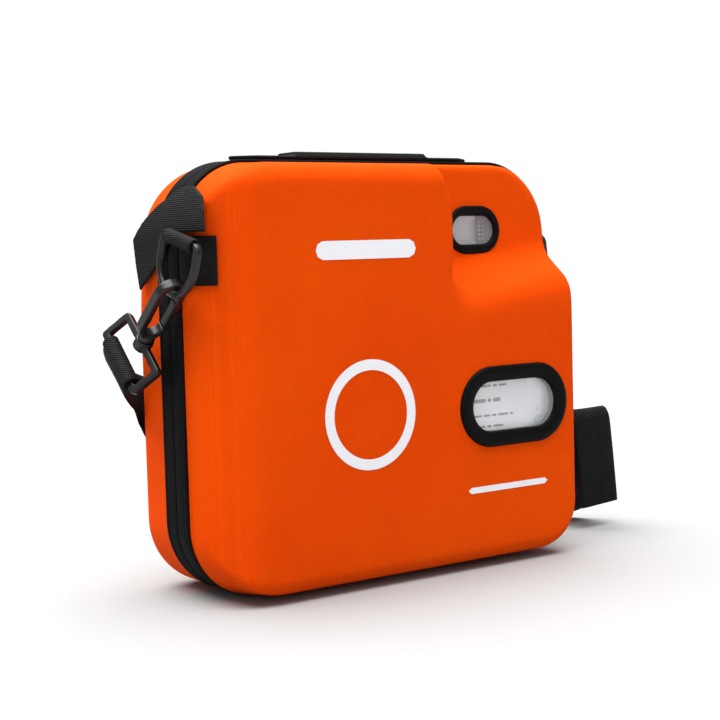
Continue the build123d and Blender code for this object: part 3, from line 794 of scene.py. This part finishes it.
# ---- print on the front ----
def flat_print(name, shapes, y, body, material, thick=0.12):
    """Thin solid print: each shape is an outer (x, z) loop and any holes."""
    verts, faces = [], []
    for loops in shapes:
        base = len(verts)
        lines = [[Vector((x, z, 0)) for x, z in loop] for loop in loops]
        flat = [p for line in lines for p in line]
        verts += [(p.x, y, p.y) for p in flat]
        n = len(flat)
        verts += [(p.x, y + thick, p.y) for p in flat]
        for tri in tessellate_polygon(lines):
            faces.append(tuple(base + i for i in tri))
            faces.append(tuple(base + n + i for i in reversed(tri)))
        start = base
        for line in lines:
            m = len(line)
            for i in range(m):
                a, b = start + i, start + (i + 1) % m
                faces.append((a, b, b + n, a + n))
            start += m
    obj = make_object(name, verts, faces, material, smooth=False)
    outward(obj)
    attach(obj, body)


def pill_shape(x, z, w, h):
    pts, _, _ = outline_points(w / 2, -h / 2, h / 2, min(w, h) / 2 - 0.01, 40)
    return [[(x + p[0], z + p[1]) for p in pts]]


def ring_shape(x, z, r, width):
    """A plain round ring: an outer circle and the hole inside it."""
    turns = np.linspace(0, 2 * math.pi, 72, endpoint=False)
    return [[(x + reach * math.cos(t), z + reach * math.sin(t)) for t in turns] for reach in (r, r - width)]


def make_print():
    """Plain shapes stand in for the lettering and the marks, none of which is drawn."""
    y = -FRONT_D - 0.16
    flat_print("print_bar", [pill_shape(-36.0, 220.7, 79.0, 12.0)], y, "lid", INK)
    flat_print("print_ring", [ring_shape(-36.0, 114.0, 36.0, 7.0)], y, "lid", INK)
    flat_print("print_rule", [pill_shape(80.0, 54.5, 72.0, 4.2)], y, "lid", INK)


# ---- what shows through the windows, and the unit inside ----
def box_shape(x0, x1, z0, z1):
    return [[(x0, z0), (x1, z0), (x1, z1), (x0, z1)]]


def make_indicator():
    """The dark area with small lamps beside the display on the unit's front."""
    y = -12.0 - 0.14
    flat_print("indicator_area", [box_shape(90.5, 101.5, 221.0, 243.0)], y, "rear", TINT, 0.1)
    lamps = [pill_shape(94.0 + 3.4 * i, 226.0 + 3.0 * j, 1.2, 1.2) for i in range(2) for j in range(5)]
    flat_print("indicator_lamps", lamps, y - 0.12, "rear", LABEL, 0.1)


def make_label():
    paint_node("pouch_label", LABEL)
    y = -49.0 - 0.14
    rows = []
    for z, x0, lengths in ((124.5, 55, (5, 9, 4, 7)), (114.5, 55, (11, 3, 7)), (104.0, 54, (8, 6, 4, 9, 3)),
                           (96.5, 58, (7, 4, 9))):
        x = x0
        for w in lengths:
            rows.append(pill_shape(x + w / 2, z, w, 2.6 if z == 114.5 else 1.5))
            x += w + 1.6
    flat_print("label_lines", rows, y, "lid", LABEL_INK, 0.1)
    flat_print("label_foil_edge", [box_shape(103.0, 126.5, 87.0, 134.0)], y, "lid", FOIL, 0.1)


def pouch():
    """A flat foil pouch with sealed edges and a soft middle."""
    lo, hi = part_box("pads_pouch")
    nx, nz = 60, 56
    x0, x1, z0, z1 = lo[0] / MM, hi[0] / MM, lo[2] / MM, hi[2] / MM
    y_mid, half = (lo[1] + hi[1]) / 2 / MM, (hi[1] - lo[1]) / 2 / MM
    verts, faces = [], []
    for side in (-1, 1):
        for i in range(nx + 1):
            for j in range(nz + 1):
                u, v = i / nx, j / nz
                edge = min(u, 1 - u, v * 0.9, (1 - v) * 0.9) * 2
                crown = smooth_step(np.array((edge - 0.12) / 0.5)) ** 0.6
                ripple = 0.35 * math.sin(u * 23 + v * 5) * math.sin(v * 17 + 1.3) * crown
                y = y_mid + side * (0.45 + (half - 0.9) * crown) + ripple
                verts.append((x0 + (x1 - x0) * u, y, z0 + (z1 - z0) * v))
    size = (nx + 1) * (nz + 1)
    row = nz + 1
    for side in range(2):
        for i in range(nx):
            for j in range(nz):
                a = side * size + i * row + j
                faces.append((a, a + 1, a + row + 1, a + row))
    border = [(i, 0) for i in range(nx)] + [(nx, j) for j in range(nz)]
    border += [(i, nz) for i in range(nx, 0, -1)] + [(0, j) for j in range(nz, 0, -1)]
    for k, (i, j) in enumerate(border):
        i2, j2 = border[(k + 1) % len(border)]
        a, b = i * row + j, i2 * row + j2
        faces.append((a, b, b + size, a + size))
    obj = make_object("pads_foil_pouch", verts, faces, FOIL)
    outward(obj)
    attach(obj, "lid")
    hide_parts("pads_pouch")


def make_inside():
    for node, material in (("foam_cradle", FOAM), ("mesh_pocket", MESH), ("casing_gasket", SEAL),
                           ("casing_screws", STEEL), ("main_board", BOARD), ("battery_pack", DARK),
                           ("capacitor", SLEEVE), ("speaker", DARK), ("status_display", SCREEN),
                           ("display_lens", FILM), ("pads_socket", DARK), ("power_switch", DARK),
                           ("shock_switch", DARK), ("aed_front_casing", CASING), ("aed_rear_casing", CASING),
                           ("power_button", GREEN), ("shock_button", AMBER)):
        paint_node(node, material)


# ---- stage ----
def make_world():
    """White behind the object, and a softer white as its ambient light."""
    world = bpy.data.worlds.new("studio")
    world.use_nodes = True
    nodes, links = world.node_tree.nodes, world.node_tree.links
    background = nodes["Background"]
    background.inputs["Color"].default_value = (1.0, 1.0, 1.0, 1.0)
    path = nodes.new("ShaderNodeLightPath")
    level = nodes.new("ShaderNodeMath")
    level.operation = "MULTIPLY_ADD"
    level.inputs[1].default_value = 1.02 - AMBIENT
    level.inputs[2].default_value = AMBIENT
    links.new(path.outputs["Is Camera Ray"], level.inputs[0])
    links.new(level.outputs[0], background.inputs["Strength"])
    bpy.context.scene.world = world


def aim(obj, place, target):
    obj.location = place
    obj.rotation_euler = (Vector(target) - Vector(place)).to_track_quat("-Z", "Y").to_euler()
    bpy.context.scene.collection.objects.link(obj)


def make_stage():
    """A mid-grey floor, lit until it reads as white, under a broad sun and a soft fill light."""
    bpy.context.scene.view_settings.view_transform = "Standard"
    make_world()
    paint = Paint("floor_pale", (0.35, 0.35, 0.35), 0.9, Specular_IOR_Level=0.0)
    paint.blend_color(paint.noise(3.0), (0.345, 0.345, 0.345), (0.355, 0.355, 0.355))
    size = 9000.0
    ground = make_object("floor", [(-size, -size, 0), (size, -size, 0), (size, size, 0), (-size, size, 0)],
                         [(0, 1, 2, 3)], paint.mat, smooth=False)
    ground.location.z = -FLOOR_DROP
    sun = bpy.data.lights.new("overhead", "SUN")
    sun.energy, sun.angle = SUN, math.radians(75)
    aim(bpy.data.objects.new("overhead", sun), (-0.16, 0.22, 1.6), (0, 0, 0))
    fill = bpy.data.lights.new("fill", "AREA")
    fill.shape, fill.size, fill.energy = "SQUARE", 1.4, 5.5
    aim(bpy.data.objects.new("fill", fill), (-0.9, -1.7, 1.0), (0, 0, 0.15))


def make_camera():
    """The view from the front left, slightly above, and nearly level."""
    turn, tilt, roll = math.radians(-35.41), math.radians(4.27), math.radians(-1.58)
    reach, look = 1.0138, Vector((-0.01884, -0.020, 0.14683))
    back = Vector((math.sin(turn) * math.cos(tilt), -math.cos(turn) * math.cos(tilt), math.sin(tilt)))
    level = (-back).cross(Vector((0, 0, 1))).normalized()
    up = level.cross(-back)
    right = level * math.cos(roll) + up * math.sin(roll)
    up = up * math.cos(roll) - level * math.sin(roll)
    data = bpy.data.cameras.new("camera")
    data.lens, data.sensor_width = 75.6, 36.0
    data.clip_start = 0.05
    camera = bpy.data.objects.new("camera", data)
    turned = Matrix((right, up, back)).transposed().to_4x4()
    camera.matrix_world = Matrix.Translation(look + back * reach) @ turned
    bpy.context.scene.collection.objects.link(camera)
    bpy.context.scene.camera = camera


make_camera()
make_stage()
make_shells()
make_band()
make_windows()
make_webbing()
make_hardware()
make_print()
make_label()
make_indicator()
pouch()
make_inside()
